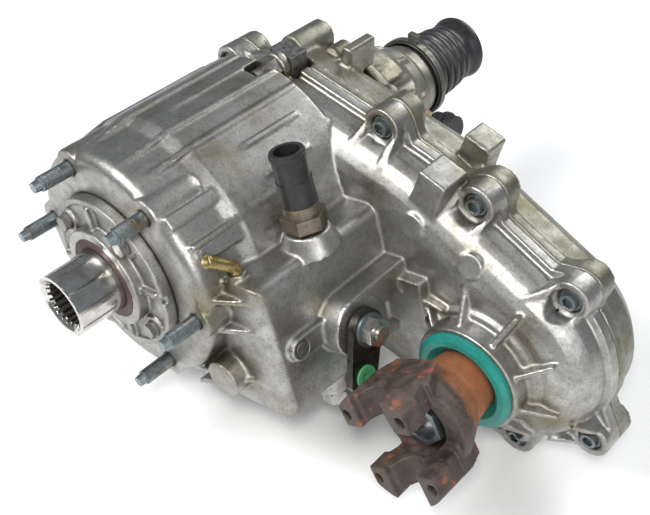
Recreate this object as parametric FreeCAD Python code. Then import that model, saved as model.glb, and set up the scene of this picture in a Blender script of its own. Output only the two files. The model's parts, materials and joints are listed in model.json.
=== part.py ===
import FreeCAD, Part
import math
import os
from FreeCAD import Vector as V

os.makedirs("parts", exist_ok=True)

# Two-speed chain-drive transfer case, millimetres.
# Origin: main axis at the front mounting face. +Y runs rearward along the main axis, +Z is up.

# shaft layout
CHAIN_PITCH = 9.525
SPROCKET_TEETH = 33
CENTRE_PITCHES = 42
CENTRES = CHAIN_PITCH * CENTRE_PITCHES / 2.0
DROP_DEG = -12.0
FX = CENTRES * math.cos(math.radians(DROP_DEG))
FZ = CENTRES * math.sin(math.radians(DROP_DEG))

# case
SEAM_Y = 160.0
BARREL_R = 79.5
BARREL_REAR_R = 83.0
BARREL_EDGE = 8.0
BARREL_BORE_R = 72.0
CHAIN_FACE_Y = 122.0
SHOULDER = 26.0
HULL = ((0.0, 73.0), (105.0, 83.0), (CENTRES, 69.0))
WALL = 6.0
REAR_FACE_Y = 200.0
REAR_WALL_Y = 187.0

# joint line: lugs (along, across, outward direction in degrees from the along axis), dowels, plugs
LUGS = ((70.0, 89.0, 97.0), (146.0, 85.0, 80.0), (222.0, 70.0, 62.0), (277.0, -22.0, -16.0),
        (238.0, -74.0, -60.0), (170.0, -84.0, -92.0), (95.0, -90.0, -92.0), (20.0, -81.0, -104.0),
        (-55.0, -61.0, -132.0), (-82.0, 2.0, 178.0), (-60.0, 47.0, 142.0))
LUG_FRONT_Y = 144.5
LUG_SEAT_Y = 148.0
LUG_SEAT_R = 8.0
BOLT_R = 5.0
DOWELS = ((232.5, 57.0), (-64.3, -30.0))
PLUGS = ((120.0, 34.0), (150.0, -46.0))
CORNER_X = -2.0
CORNER_Z = 78.0

# mounting face
STUD_PCD = 140.0
STUD_R = 5.0
STUD_ROOT_R = 4.6
STUD_BOSS_R = 12.0
STUD_COUNT = 6
STUD_PHASE = 1.0
STUD_OUT = 26.5
PILOT_R = 53.0
PILOT_OUT = 6.0
PILOT_SEAT = 1.0

# input sleeve
SLEEVE_R = 21.0
SLEEVE_BORE_R = 15.5
SLEEVE_FRONT_Y = -46.5
INPUT_SPLINES = 23

# planetary set
MODULE = 2.0
SUN_TEETH = 35
PLANET_TEETH = 13
RING_TEETH = SUN_TEETH + 2 * PLANET_TEETH
PLANETS = 4
CARRIER_R = MODULE * (SUN_TEETH + PLANET_TEETH) / 2.0
GEAR_Y0 = 25.0
GEAR_Y1 = 49.0

# shift box on the side of the case, in a frame turned about Y
BOX_DEG = 17.0
BOX_U = 109.0
BOX_TOP = 3.0
BOX_BOTTOM = -95.0
BOX_FRONT_Y = 18.0
BOX_REAR_Y = 124.0
LEVER_Y = 73.5
LEVER_V = -52.0
BOSS_U = 126.0
LEVER_U = 127.5
LEVER_DEG = 201.0
SWITCH_V = 10.0
SW_U = 99.0
SW_Y = 74.0
VENT_U = 87.0
VENT_Y = 25.0
PLUG_U = 97.0
PLUG_Y = 64.0
DETENT_V = -48.0
DETENT_Y = 36.0

# shift rail, in the shift box frame
PIN_ARM = 24.0
SHIFT_DEG = 26.0
RAIL_U = 82.0
RAIL_V = -70.0
RAIL_R = 7.0

# front output
HUB_R = 37.0
HUB_FRONT_Y = 104.0
YOKE_R = 22.0
YOKE_DEG = 125.0
CROSS_Y = 37.0
STRAP_AT = 23.4

# rear end
EXT_END_Y = 286.0
BOOT_END_Y = 346.0
BOOT_END_R = 24.4
BOOT_MOUTH_R = 20.6
BOOT_FOLDS = (26.8, 26.7, 26.5, 26.1, 25.3)
SENSOR_DEG = 14.0

YAX = V(0, 1, 0)
BOX_C = math.cos(math.radians(BOX_DEG))
BOX_S = math.sin(math.radians(BOX_DEG))


def cyl(r, y0, y1, x=0.0, z=0.0):
    return Part.makeCylinder(r, y1 - y0, V(x, y0, z), YAX)


def tube(ro, ri, y0, y1, x=0.0, z=0.0):
    return cyl(ro, y0, y1, x, z).cut(cyl(ri, y0 - 1, y1 + 1, x, z))


def cone(r0, r1, y0, y1, x=0.0, z=0.0):
    return Part.makeCone(r0, r1, y1 - y0, V(x, y0, z), YAX)


def rod(r, a, b):
    d = b.sub(a)
    return Part.makeCylinder(r, d.Length, a, d)


def lathe(points, x=0.0, z=0.0):
    # closed (radius, y) outline turned about the Y line through x, z
    wire = Part.makePolygon([V(r, y, 0) for r, y in points] + [V(points[0][0], points[0][1], 0)])
    solid = Part.Face(wire).revolve(V(0, 0, 0), YAX, 360)
    solid.translate(V(x, 0, z))
    return solid


def polar(r, deg, y=0.0, x=0.0, z=0.0):
    a = math.radians(deg)
    return V(x + r * math.cos(a), y, z + r * math.sin(a))


def prism(points, y0, y1):
    # polygon in the X-Z plane pushed along Y
    wire = Part.makePolygon([V(x, y0, z) for x, z in points] + [V(points[0][0], y0, points[0][1])])
    return Part.Face(wire).extrude(V(0, y1 - y0, 0))


def hexagon(across, y0, y1, x=0.0, z=0.0, turn=0.0):
    r = across / math.sqrt(3.0)
    pts = [(x + r * math.cos(math.radians(60 * i + turn)), z + r * math.sin(math.radians(60 * i + turn)))
           for i in range(6)]
    return prism(pts, y0, y1)


def box_point(u, v, y):
    return V(u * BOX_C - v * BOX_S, y, u * BOX_S + v * BOX_C)


RAIL_X = box_point(RAIL_U, RAIL_V, 0).x
RAIL_Z = box_point(RAIL_U, RAIL_V, 0).z


def box_block(u0, u1, v0, v1, y0, y1):
    pts = [box_point(u, v, 0) for u, v in ((u0, v0), (u1, v0), (u1, v1), (u0, v1))]
    return prism([(p.x, p.z) for p in pts], y0, y1)


def box_rod(r, u0, u1, v, y):
    return rod(r, box_point(u0, v, y), box_point(u1, v, y))


def hull_block(s0, s1, h0, h1, y0, y1):
    pts = [hull_point(s, h) for s, h in ((s0, h0), (s1, h0), (s1, h1), (s0, h1))]
    return prism([(p.x, p.z) for p in pts], y0, y1)


def hull_point(s, h, y=0.0):
    # s along the line from the main axis to the front output axis, h across it
    a = math.radians(DROP_DEG)
    return V(s * math.cos(a) - h * math.sin(a), y, s * math.sin(a) + h * math.cos(a))


def fuse(shapes):
    first = shapes[0]
    if len(shapes) == 1:
        return first
    return first.multiFuse(shapes[1:]).removeSplitter()


def cut_all(base, tools):
    return base.cut(Part.makeCompound(tools)) if len(tools) == 1 else base.cut(tools[0].multiFuse(tools[1:]))


def save(name, shape):
    shape.exportStep("parts/%s.step" % name)


# ---------------------------------------------------------------- gears

def gear_points(teeth, tip, root, thin=0.0, pressure=25.0, steps=3):
    # involute tooth outline about the local origin, tooth 0 centred on angle 0
    rp = MODULE * teeth / 2.0
    rb = rp * math.cos(math.radians(pressure))
    inv = math.tan(math.radians(pressure)) - math.radians(pressure)
    half = math.pi / (2.0 * teeth) - thin / (2.0 * rp)
    lo = max(root, rb + 0.01)
    flank = []
    for i in range(steps + 1):
        r = lo + (tip - lo) * i / steps
        t = math.acos(rb / r)
        flank.append((r, half + inv - (math.tan(t) - t)))
    if root < lo:
        flank.insert(0, (root, flank[0][1]))
    pts = []
    for k in range(teeth):
        c = 2.0 * math.pi * k / teeth
        for r, w in flank:
            pts.append((r, c - w))
        for r, w in reversed(flank):
            pts.append((r, c + w))
    return pts


def gear_prism(points, y0, y1, turn=0.0, x=0.0, z=0.0):
    # turn is measured the way +Y rotation runs, so an angle a points to (cos a, -sin a) in X, Z
    xz = [(x + r * math.cos(a + turn), z - r * math.sin(a + turn)) for r, a in points]
    return prism(xz, y0, y1)


def spline_points(teeth, tip, root, fill=0.46):
    pts = []
    for k in range(teeth):
        c = 2.0 * math.pi * k / teeth
        w = math.pi / teeth * fill
        pts += [(root, c - w * 1.25), (tip, c - w * 0.85), (tip, c + w * 0.85), (root, c + w * 1.25)]
    return pts


# ---------------------------------------------------------------- case outline

def hull_wire(y, off, circles=HULL):
    # closed outline wrapped round the circles, all moved outward by off
    def tangents(c0, c1, side):
        (s0, r0), (s1, r1) = c0, c1
        a = math.asin((r0 - r1) / (s1 - s0))
        n = (math.sin(a), side * math.cos(a))
        return ((s0 + r0 * n[0], r0 * n[1]), (s1 + r1 * n[0], r1 * n[1]))
    circ = [(s, r + off) for s, r in circles]
    top = [tangents(circ[0], circ[1], 1), tangents(circ[1], circ[2], 1)]

    def p(q):
        return hull_point(q[0], q[1], y)

    def arc(c, a, b):
        s, r = c
        pa = math.atan2(a[1], a[0] - s)
        pb = math.atan2(b[1], b[0] - s)
        if pb > pa:
            pb -= 2 * math.pi
        m = (pa + pb) / 2
        return Part.Arc(p(a), p((s + r * math.cos(m), r * math.sin(m))), p(b)).toShape()

    def flip(q):
        return (q[0], -q[1])
    (a0, a1), (b0, b1) = top
    edges = [Part.makeLine(p(a0), p(a1)), arc(circ[1], a1, b0), Part.makeLine(p(b0), p(b1)),
             arc(circ[2], b1, flip(b1)), Part.makeLine(p(flip(b1)), p(flip(b0))),
             arc(circ[1], flip(b0), flip(a1)), Part.makeLine(p(flip(a1)), p(flip(a0))),
             arc(circ[0], flip(a0), a0)]
    return Part.Wire(edges)


def hull_slab(off, y0, y1):
    return Part.Face(hull_wire(y0, off)).extrude(V(0, y1 - y0, 0))


def hull_dome(stages):
    # stacked drafted slabs through (y, offset) stages
    solids = []
    for (y0, o0), (y1, o1) in zip(stages, stages[1:]):
        if abs(o0 - o1) < 1e-6:
            solids.append(hull_slab(o0, y0, y1))
        else:
            solids.append(Part.makeLoft([hull_wire(y0, o0), hull_wire(y1, o1)], True, True))
    return solids


def lug_pieces(y0, y1):
    out = []
    for s, h, deg in LUGS:
        c = hull_point(s, h)
        d = math.radians(deg + DROP_DEG)
        n = (math.cos(d), math.sin(d))
        t = (-n[1], n[0])
        out.append(cyl(13.0, y0, y1, c.x, c.z))
        pts = [(c.x + n[0] * a + t[0] * b, c.z + n[1] * a + t[1] * b)
               for a, b in ((6, -12), (6, 12), (-16, 25), (-16, -25))]
        out.append(prism(pts, max(y0, SEAM_Y - 8.0), y1) if y0 < SEAM_Y else prism(pts, y0, y0 + 9.0))
    return out


def lug_webs():
    out = []
    for s, h, deg in LUGS:
        c = hull_point(s, h)
        d = math.radians(deg + DROP_DEG)
        n = V(math.cos(d), 0, math.sin(d))
        t = V(-n.z, 0, n.x)
        for side in (-1, 1):
            a = c + t * (side * 11.0) + n * 4.0
            b = c + t * (side * 16.0) - n * 16.0
            pts = [V(a.x, SEAM_Y - 12, a.z), V(b.x, SEAM_Y - 30, b.z), V(b.x, SEAM_Y - 4, b.z),
                   V(a.x, SEAM_Y - 4, a.z)]
            face = Part.Face(Part.makePolygon(pts + [pts[0]]))
            out.append(face.extrude(t * (side * -5.0)))
    return out


def box_outer():
    body = box_block(20, BOX_U, BOX_BOTTOM, BOX_TOP, BOX_FRONT_Y, BOX_REAR_Y)
    edges = []
    for e in body.Edges:
        m = e.CenterOfMass
        u = m.x * BOX_C + m.z * BOX_S
        if u > BOX_U - 5 and m.y < BOX_REAR_Y - 1:
            edges.append(e)
    return body.makeFillet(7.0, edges)


def box_inner():
    return box_block(30, BOX_U - WALL, BOX_BOTTOM + WALL, BOX_TOP - WALL, BOX_FRONT_Y + WALL, BOX_REAR_Y + 6)


def barrel():
    # rounded front edge, front section, ramps up to the rear section, and a boss behind each stud
    edge = []
    for i in range(7):
        a = math.radians(15.0 * i)
        edge.append((BARREL_R - BARREL_EDGE * (1 - math.sin(a)), BARREL_EDGE * (1 - math.cos(a))))
    points = [(0, 0)] + edge + [(BARREL_R + 0.3, 36), (BARREL_REAR_R, 46), (BARREL_REAR_R + 0.5, 136), (0, 136)]
    out = [lathe(points)]
    for i in range(STUD_COUNT):
        p = polar(STUD_PCD / 2, STUD_PHASE + 60 * i)
        out.append(cyl(STUD_BOSS_R, 0, 31, p.x, p.z))
        out.append(Part.makeSphere(STUD_BOSS_R, V(p.x, 31, p.z)))
    return out


def barrel_ribs():
    # angle, width, start, radius there, end of rise, end, radius at the top
    out = []
    for deg, w, y0, r0, yk, y1, top in (
            (111, 8, 6, 79, 42, 134, 85.5), (86, 3.5, 4, 79, 46, 134, 85.0), (73.5, 4, 5, 79, 46, 134, 85.0),
            (98, 3.5, 60, 83, 66, 134, 84.5), (51.5, 8.5, 3, 78, 4.5, 118, 81.6), (47, 2.5, 74, 83, 78, 112, 84.6),
            (62, 3, 70, 83, 76, 120, 84.4), (38.5, 3, 7, 79, 9, 100, 83.4), (34, 11, 10, 79, 12, 96, 82.2),
            (140, 5, 8, 79, 46, 134, 85.0), (165, 5, 8, 79, 46, 134, 85.0), (190, 5, 8, 79, 46, 134, 85.0),
            (215, 9, 8, 79, 46, 134, 85.5), (240, 5, 8, 79, 46, 134, 85.0), (265, 5, 8, 79, 46, 120, 85.0)):
        pts = [V(0, y0, 70), V(0, y0, r0), V(0, yk, top), V(0, y1, top), V(0, y1, 70)]
        rib = Part.Face(Part.makePolygon(pts + [pts[0]])).extrude(V(w, 0, 0))
        rib.translate(V(-w / 2.0, 0, 0))
        rib.rotate(V(0, 0, 0), YAX, 90 - deg)
        out.append(rib)
    return out


def hub_gussets():
    out = []
    for deg in (111, 72, 35, -6, -42, -78, 150):
        pts = [V(HUB_R - 2, HUB_FRONT_Y + 3, 0), V(57, CHAIN_FACE_Y - 1, 0), V(57, CHAIN_FACE_Y + 4, 0),
               V(HUB_R - 2, CHAIN_FACE_Y + 4, 0)]
        g = Part.Face(Part.makePolygon(pts + [pts[0]])).extrude(V(0, 0, 3.2))
        g.translate(V(0, 0, -1.6))
        g.rotate(V(0, 0, 0), YAX, -deg)
        g.translate(V(FX, 0, FZ))
        out.append(g)
    return out


def box_gussets():
    out = []
    for v, u0, u1 in ((-9, 72, 104), (-31, 68, 104), (-73, 36, 97), (-84, 36, 84)):
        pts = [box_point(u0, v, 5.0), box_point(u1, v, BOX_FRONT_Y + 1), box_point(u0, v, BOX_FRONT_Y + 1)]
        g = Part.Face(Part.makePolygon(pts + [pts[0]]))
        out.append(g.extrude(box_point(0, 3.5, 0)))
    return out


def front_case():
    solids = barrel()
    stages = []
    for i in range(7):
        a = math.radians(15.0 * i)
        stages.append((CHAIN_FACE_Y + SHOULDER * (1 - math.cos(a)), SHOULDER * (math.sin(a) - 1)))
    solids += hull_dome(stages + [(SEAM_Y, 0)])
    solids.append(hull_slab(4.0, SEAM_Y - 8, SEAM_Y))
    solids.append(box_outer())
    solids += barrel_ribs()
    solids.append(cyl(HUB_R, HUB_FRONT_Y, CHAIN_FACE_Y + 6, FX, FZ))
    solids.append(cone(HUB_R + 3, HUB_R + 10, CHAIN_FACE_Y - 4, CHAIN_FACE_Y + 4, FX, FZ))
    solids += hub_gussets()
    solids += box_gussets()
    solids += lug_pieces(LUG_FRONT_Y, SEAM_Y)
    solids += lug_webs()
    # selector boss, its ridge, detent rib
    solids.append(box_rod(20, 100, BOSS_U, LEVER_V, LEVER_Y))
    solids.append(box_block(100, BOSS_U - 1, LEVER_V + 1, LEVER_V + 20, LEVER_Y, 124))
    solids.append(box_block(100, BOX_U + 5, DETENT_V - 8, DETENT_V + 8, DETENT_Y, LEVER_Y))
    solids.append(box_rod(8.0, 100, BOX_U + 5, DETENT_V, DETENT_Y))
    # lower plug boss, switch boss, vent boss
    solids.append(rod(10, box_point(PLUG_U, -80, PLUG_Y), box_point(PLUG_U, -106, PLUG_Y)))
    solids.append(Part.makeCone(19, 14, 14, box_point(SW_U, -2, SW_Y), box_point(0, 1, 0)))
    solids.append(rod(6, box_point(VENT_U, -4, VENT_Y), box_point(VENT_U, BOX_TOP + 4, VENT_Y)))
    # webs beside the output hub and lifting block on the flank
    for z, x0 in ((-14, 116), (-31, 124)):
        solids.append(Part.makeBox(FX - 30 - x0, 10, 3.5, V(x0, 115, z)))
    solids.append(box_block(104, 142, -78, -42, 113, 130))
    solids.append(hull_block(112, 132, 66, 98, 128, 151))
    # round boss low on the front of the shift box
    solids.append(cyl(13, 5, 40, 82, -48))
    body = fuse(solids)
    cuts = [cyl(36, -1, 17.5), cyl(BARREL_BORE_R, 17.4, 100), cyl(76, 52, 100), cyl(66, 99, 130)]
    cuts.append(cyl(PILOT_R + 0.4, -1, PILOT_SEAT))
    cuts += hull_dome(((CHAIN_FACE_Y + 8, -20), (CHAIN_FACE_Y + 16, -8), (CHAIN_FACE_Y + 24, -WALL),
                       (SEAM_Y + 1, -WALL)))
    cuts.append(box_inner())
    cuts += [cyl(31, 112, 140, FX, FZ), cyl(23.5, 100, 113, FX, FZ), cyl(31.5, 100, 109, FX, FZ)]
    cuts.append(box_rod(9.0, 90, BOSS_U + 2, LEVER_V, LEVER_Y))
    cuts.append(box_rod(5.0, 100, BOX_U + 8, DETENT_V, DETENT_Y))
    cuts.append(rod(7.0, box_point(PLUG_U, -70, PLUG_Y), box_point(PLUG_U, -108, PLUG_Y)))
    cuts.append(rod(8.0, box_point(SW_U, -14, SW_Y), box_point(SW_U, SWITCH_V + 6, SW_Y)))
    cuts.append(rod(2.5, box_point(VENT_U, -12, VENT_Y), box_point(VENT_U, BOX_TOP + 6, VENT_Y)))
    for i in range(STUD_COUNT):
        p = polar(STUD_PCD / 2, STUD_PHASE + 60 * i)
        cuts.append(cyl(STUD_ROOT_R, -1, 16, p.x, p.z))
        cuts.append(cone(STUD_R + 0.9, STUD_ROOT_R, -0.1, 1.2, p.x, p.z))
    for i in range(4):
        p = polar(43.5, 60 + 90 * i)
        cuts.append(cyl(3.0, -1, 12, p.x, p.z))
    for s, h, deg in LUGS:
        c = hull_point(s, h)
        cuts.append(cyl(BOLT_R, LUG_FRONT_Y - 2, SEAM_Y + 1, c.x, c.z))
        cuts.append(cyl(LUG_SEAT_R, LUG_FRONT_Y, LUG_SEAT_Y, c.x, c.z))
        cuts.append(cyl(10.5, LUG_FRONT_Y - 14, LUG_FRONT_Y, c.x, c.z))
    c = hull_point(262, 62)
    cuts.append(cyl(15, 138, SEAM_Y + 1, c.x, c.z))
    for s, h in DOWELS:
        c = hull_point(s, h)
        cuts.append(cyl(4.0, SEAM_Y - 8, SEAM_Y + 1, c.x, c.z))
    shell = cut_all(body, cuts)
    # ear for the cross bolt at the top of the joint line, and the front rail boss
    ear = fuse([shell, cyl(10, 141, 148, CORNER_X, CORNER_Z), cyl(12, 22, 42, RAIL_X, RAIL_Z)])
    bores = [cyl(5.0, 138, 150, CORNER_X, CORNER_Z), cyl(RAIL_R + 0.05, 21, 44, RAIL_X, RAIL_Z),
             Part.makeBox(26, 13.2, 24, V(CORNER_X - 13, 148, CORNER_Z - 11)),
             cyl(9.5, 122, 141, CORNER_X, CORNER_Z)]
    return cut_all(ear, bores)


def rear_case():
    solids = hull_dome(((SEAM_Y, 0), (SEAM_Y + 24, 0), (SEAM_Y + 33, -6), (SEAM_Y + 38, -16),
                        (REAR_FACE_Y, -26)))
    solids.append(hull_slab(4.0, SEAM_Y, SEAM_Y + 8))
    solids += lug_pieces(SEAM_Y, SEAM_Y + 14)
    solids.append(cone(62, 50, REAR_FACE_Y - 6, 212))
    solids.append(cyl(34, 180, 210, FX, FZ))
    solids.append(hull_block(112, 131, 70, 101, 171, 190))
    solids.append(cyl(11, 172, 204, -16, 70))
    solids.append(Part.makeBox(8, 26, 22, V(20, 182, 62)))
    solids.append(cyl(8, 186, 202, 8, 68))
    for deg in (60, 25, -5, -40, -75, 100, 140):
        pts = [V(40, 205, 0), V(66, REAR_FACE_Y - 4, 0), V(66, REAR_FACE_Y - 10, 0), V(40, REAR_FACE_Y - 10, 0)]
        g = Part.Face(Part.makePolygon(pts + [pts[0]])).extrude(V(0, 0, 4))
        g.translate(V(0, 0, -2))
        g.rotate(V(0, 0, 0), YAX, -deg)
        solids.append(g)
    for deg in (70, 25, -20, -65, 115):
        pts = [V(30, 206, 0), V(58, REAR_FACE_Y - 6, 0), V(58, REAR_FACE_Y - 12, 0), V(30, REAR_FACE_Y - 12, 0)]
        g = Part.Face(Part.makePolygon(pts + [pts[0]])).extrude(V(0, 0, 4))
        g.translate(V(0, 0, -2))
        g.rotate(V(0, 0, 0), YAX, -deg)
        g.translate(V(FX, 0, FZ))
        solids.append(g)
    # fill and drain bosses
    for s, h in PLUGS:
        c = hull_point(s, h)
        solids.append(cyl(15, 180, 205, c.x, c.z))
    body = fuse(solids)
    cuts = [hull_slab(-WALL, SEAM_Y - 1, SEAM_Y + 22)]
    cuts += hull_dome(((SEAM_Y + 22, -WALL), (REAR_WALL_Y, -14)))
    cuts += [cyl(36, 186, 206), cyl(42, 205.9, 220), cyl(22.5, 180, 230)]
    cuts += [cyl(26, 180, 199, FX, FZ)]
    for s, h in PLUGS:
        c = hull_point(s, h)
        cuts.append(cyl(9, 175, 206, c.x, c.z))
    for s, h, deg in LUGS:
        c = hull_point(s, h)
        cuts.append(cyl(BOLT_R, SEAM_Y - 1, SEAM_Y + 15, c.x, c.z))
    for s, h in DOWELS:
        c = hull_point(s, h)
        cuts.append(cyl(4.0, SEAM_Y - 1, SEAM_Y + 8, c.x, c.z))
    for i in range(4):
        p = polar(46, 45 + 90 * i)
        cuts.append(cyl(3.5, 195, 213, p.x, p.z))
    cuts.append(Part.makeBox(26, 7, 30, V(CORNER_X - 13, SEAM_Y - 1, CORNER_Z - 11)))
    shell = cut_all(body, cuts).fuse(cyl(12, 172, 190, RAIL_X, RAIL_Z)).removeSplitter()
    return shell.cut(cyl(RAIL_R + 0.05, 171, 197.5, RAIL_X, RAIL_Z))


# ---------------------------------------------------------------- front end

def input_retainer():
    body = [cyl(PILOT_R, -PILOT_OUT, 0), cyl(PILOT_R - 1.0, -1, PILOT_SEAT), cyl(34, -14, -PILOT_OUT + 1)]
    for i in range(4):
        p = polar(43.5, 60 + 90 * i)
        body.append(cyl(8.5, -PILOT_OUT - 2.5, -PILOT_OUT + 1, p.x, p.z))
    ring = tube(PILOT_R, PILOT_R - 4, -PILOT_OUT - 2, -PILOT_OUT + 1)
    body.append(ring)
    for i in range(4):
        rib = Part.makeBox(16, 5, 4, V(33, -PILOT_OUT - 4, -2))
        rib.rotate(V(0, 0, 0), YAX, -(15 + 90 * i))
        body.append(rib)
    cuts = [cyl(27.7, -15, -5), cyl(24, -6, 2)]
    for i in range(4):
        p = polar(43.5, 60 + 90 * i)
        cuts.append(cyl(3.0, -12, 2, p.x, p.z))
    slot = Part.makeBox(12, 6, 5, V(46, -PILOT_OUT - 5, -2.5))
    slot.rotate(V(0, 0, 0), YAX, -12)
    cuts.append(slot)
    return cut_all(fuse(body), cuts)


def hex_bolt(across, head, length, r, x, z, y_seat, toward=-1):
    # head on the -Y side of y_seat when toward is -1
    if toward < 0:
        h = hexagon(across, y_seat - head, y_seat, x, z)
        f = tube(across * 0.62, r, y_seat - 1.5, y_seat, x, z)
        s = cyl(r, y_seat - 1, y_seat + length, x, z)
    else:
        h = hexagon(across, y_seat, y_seat + head, x, z)
        f = tube(across * 0.62, r, y_seat, y_seat + 1.5, x, z)
        s = cyl(r, y_seat - length, y_seat + 1, x, z)
    return fuse([h, f, s])


def retainer_bolts():
    out = []
    for i in range(4):
        p = polar(43.5, 60 + 90 * i)
        out.append(hex_bolt(9.0, 5.0, 19.5, 3.0, p.x, p.z, -PILOT_OUT - 2.5))
    return Part.makeCompound(out)


def input_seal():
    return lathe([(27.7, -14), (27.7, -6), (26.2, -6), (26.2, -12), (22.0, -12), (21.05, -9), (21.05, -13),
                  (22.5, -14)])


def stud(x, z):
    out = cyl(STUD_R, -STUD_OUT + 5, 0, x, z).fuse(cyl(STUD_ROOT_R, -1, 15, x, z))
    dog = cone(3.4, 4.0, -STUD_OUT, -STUD_OUT + 5, x, z)
    body = out.fuse(dog)
    grooves = []
    for k in range(9):
        y = -STUD_OUT + 6 + 1.5 * k
        grooves.append(lathe([(STUD_R + 0.5, y), (STUD_R + 0.5, y + 1.0), (STUD_R - 0.55, y + 0.5)], x, z))
    return body.cut(Part.makeCompound(grooves)).removeSplitter()


def mounting_studs():
    out = []
    for i in range(STUD_COUNT):
        p = polar(STUD_PCD / 2, STUD_PHASE + 60 * i)
        out.append(stud(p.x, p.z))
    return Part.makeCompound(out)


def bearing(ro, ri, y0, y1, x=0.0, z=0.0, balls=9):
    w = y1 - y0
    ym = (y0 + y1) / 2.0
    rm = (ro + ri) / 2.0
    rb = min((ro - ri) * 0.27, w * 0.36)
    groove = Part.makeTorus(rm, rb + 0.15, V(x, ym, z), YAX)
    outer = tube(ro, rm + rb * 0.55, y0, y1, x, z).cut(groove)
    inner = tube(rm - rb * 0.55, ri, y0, y1, x, z).cut(groove)
    out = [outer, inner]
    for i in range(balls):
        p = polar(rm, 360.0 * i / balls, ym, x, z)
        out.append(Part.makeSphere(rb, p))
    return Part.makeCompound(out)


# ---------------------------------------------------------------- planetary set

def input_gear():
    body = [cyl(SLEEVE_R, SLEEVE_FRONT_Y, 18), cyl(30, 17.3, 22), cyl(31, 21, 51)]
    body.append(gear_prism(gear_points(SUN_TEETH, 36.6, 32.6, 0.30), 24, 50))
    solid = fuse(body)
    bore = gear_prism(spline_points(INPUT_SPLINES, SLEEVE_BORE_R + 1.6, SLEEVE_BORE_R), SLEEVE_FRONT_Y - 1, -6)
    lead = cone(SLEEVE_BORE_R + 4, SLEEVE_BORE_R, SLEEVE_FRONT_Y - 1, SLEEVE_FRONT_Y + 3.5)
    clutch = gear_prism(spline_points(24, 26.4, 24.4), 39, 52)
    return cut_all(solid, [bore, lead, cyl(17.05, 14, 38), cyl(24.6, 37.5, 39.2), clutch])


def annulus_gear():
    ring = cyl(BARREL_BORE_R, GEAR_Y0 - 1, GEAR_Y1 + 1)
    pts = gear_points(RING_TEETH, 63.4, 59.4, -0.30)
    space = gear_prism(pts, GEAR_Y0 - 2, GEAR_Y1 + 2, 0.0)
    return ring.cut(space)


def planet_phase(i):
    a = 2.0 * math.pi * i / PLANETS
    frac = 0.5 - a * SUN_TEETH / (2.0 * math.pi)
    return a + math.pi - frac * 2.0 * math.pi / PLANET_TEETH


def planet_centre(i):
    a = 2.0 * math.pi * i / PLANETS
    return V(CARRIER_R * math.cos(a), 0, -CARRIER_R * math.sin(a))


def planet_gear(i):
    c = planet_centre(i)
    pts = gear_points(PLANET_TEETH, 14.6, 10.7, 0.30)
    g = gear_prism(pts, GEAR_Y0, GEAR_Y1, planet_phase(i), c.x, c.z)
    return g.cut(cyl(6.05, GEAR_Y0 - 1, GEAR_Y1 + 1, c.x, c.z))


def planet_pins():
    out = []
    for i in range(PLANETS):
        c = planet_centre(i)
        out.append(cyl(6.0, 18.5, 58, c.x, c.z))
    return Part.makeCompound(out)


def planet_carrier():
    front = tube(60, 32, 18.5, 23.5)
    rear = tube(60, 30, 51.5, 58)
    posts = []
    for i in range(PLANETS):
        a = 45 + 90 * i
        p = polar(CARRIER_R, a)
        post = cyl(8.0, 23, 52, p.x, p.z)
        posts.append(post)
    sleeve = tube(38, 27, 57.5, 78)
    teeth = tube(30, 24, 65, 75).cut(gear_prism(spline_points(24, 26.4, 24.4), 64, 76))
    body = fuse([front, rear] + posts + [sleeve, teeth])
    return cut_all(body, [cyl(6.0, 10, 60, planet_centre(i).x, planet_centre(i).z) for i in range(PLANETS)])


def range_hub():
    teeth = gear_prism(spline_points(24, 26.1, 24.0, 0.40), 41, 49)
    body = fuse([teeth, cyl(20, 40.5, 82), cyl(31.5, 80, 84), cyl(26, 83, 91), cyl(31.5, 90, 94)])
    bore = gear_prism(spline_points(18, 16.6, 15.3), 39, 100)
    return body.cut(bore)


# ---------------------------------------------------------------- main line

def mainshaft():
    body = [cyl(17.0, 18, 37), cyl(14.6, 36, 113)]
    body.append(gear_prism(spline_points(18, 16.3, 14.4, 0.38), 39.5, 110))
    body += [cyl(18.9, 112, 190), cyl(20.0, 189, 214), cyl(17.5, 213, 262), cyl(16, 261, 334)]
    body.append(gear_prism(spline_points(26, 17.2, 15.8), 268, 334))
    solid = fuse(body)
    return cut_all(solid, [cyl(3.0, 17, 120), tube(21, 17.8, 208, 209.6)])


def mode_hub():
    body = gear_prism(spline_points(30, 34.0, 32.0, 0.42), 113, 124)
    return body.cut(cyl(18.9, 112, 125))


def mode_sleeve():
    ring = cyl(46, 114, 138)
    bore = gear_prism(spline_points(30, 34.5, 32.4, 0.54), 113, 139)
    groove = tube(47, 41, 121, 130)
    return ring.cut(bore).cut(groove)


def sprocket_points(tip):
    rp = CHAIN_PITCH / (2.0 * math.sin(math.pi / SPROCKET_TEETH))
    pts = []
    for k in range(SPROCKET_TEETH):
        c = 2.0 * math.pi * k / SPROCKET_TEETH
        w = math.pi / SPROCKET_TEETH
        pts += [(rp - 3.6, c - w * 0.78), (tip, c - w * 0.26), (tip, c + w * 0.26), (rp - 3.6, c + w * 0.78)]
    return pts


SPROCKET_R = CHAIN_PITCH / (2.0 * math.sin(math.pi / SPROCKET_TEETH))


def drive_sprocket():
    body = fuse([gear_prism(sprocket_points(SPROCKET_R - 0.4), 148, 172), cyl(30, 140, 176),
                 gear_prism(spline_points(30, 34.0, 32.0, 0.42), 130.5, 138), cyl(27, 130.5, 141)])
    return body.cut(cyl(18.97, 129, 178))


def driven_sprocket():
    body = fuse([gear_prism(sprocket_points(SPROCKET_R - 0.4), 148, 172, 0.0, FX, FZ), cyl(30, 142, 178, FX, FZ)])
    return body.cut(cyl(19, 140, 180, FX, FZ))


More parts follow.
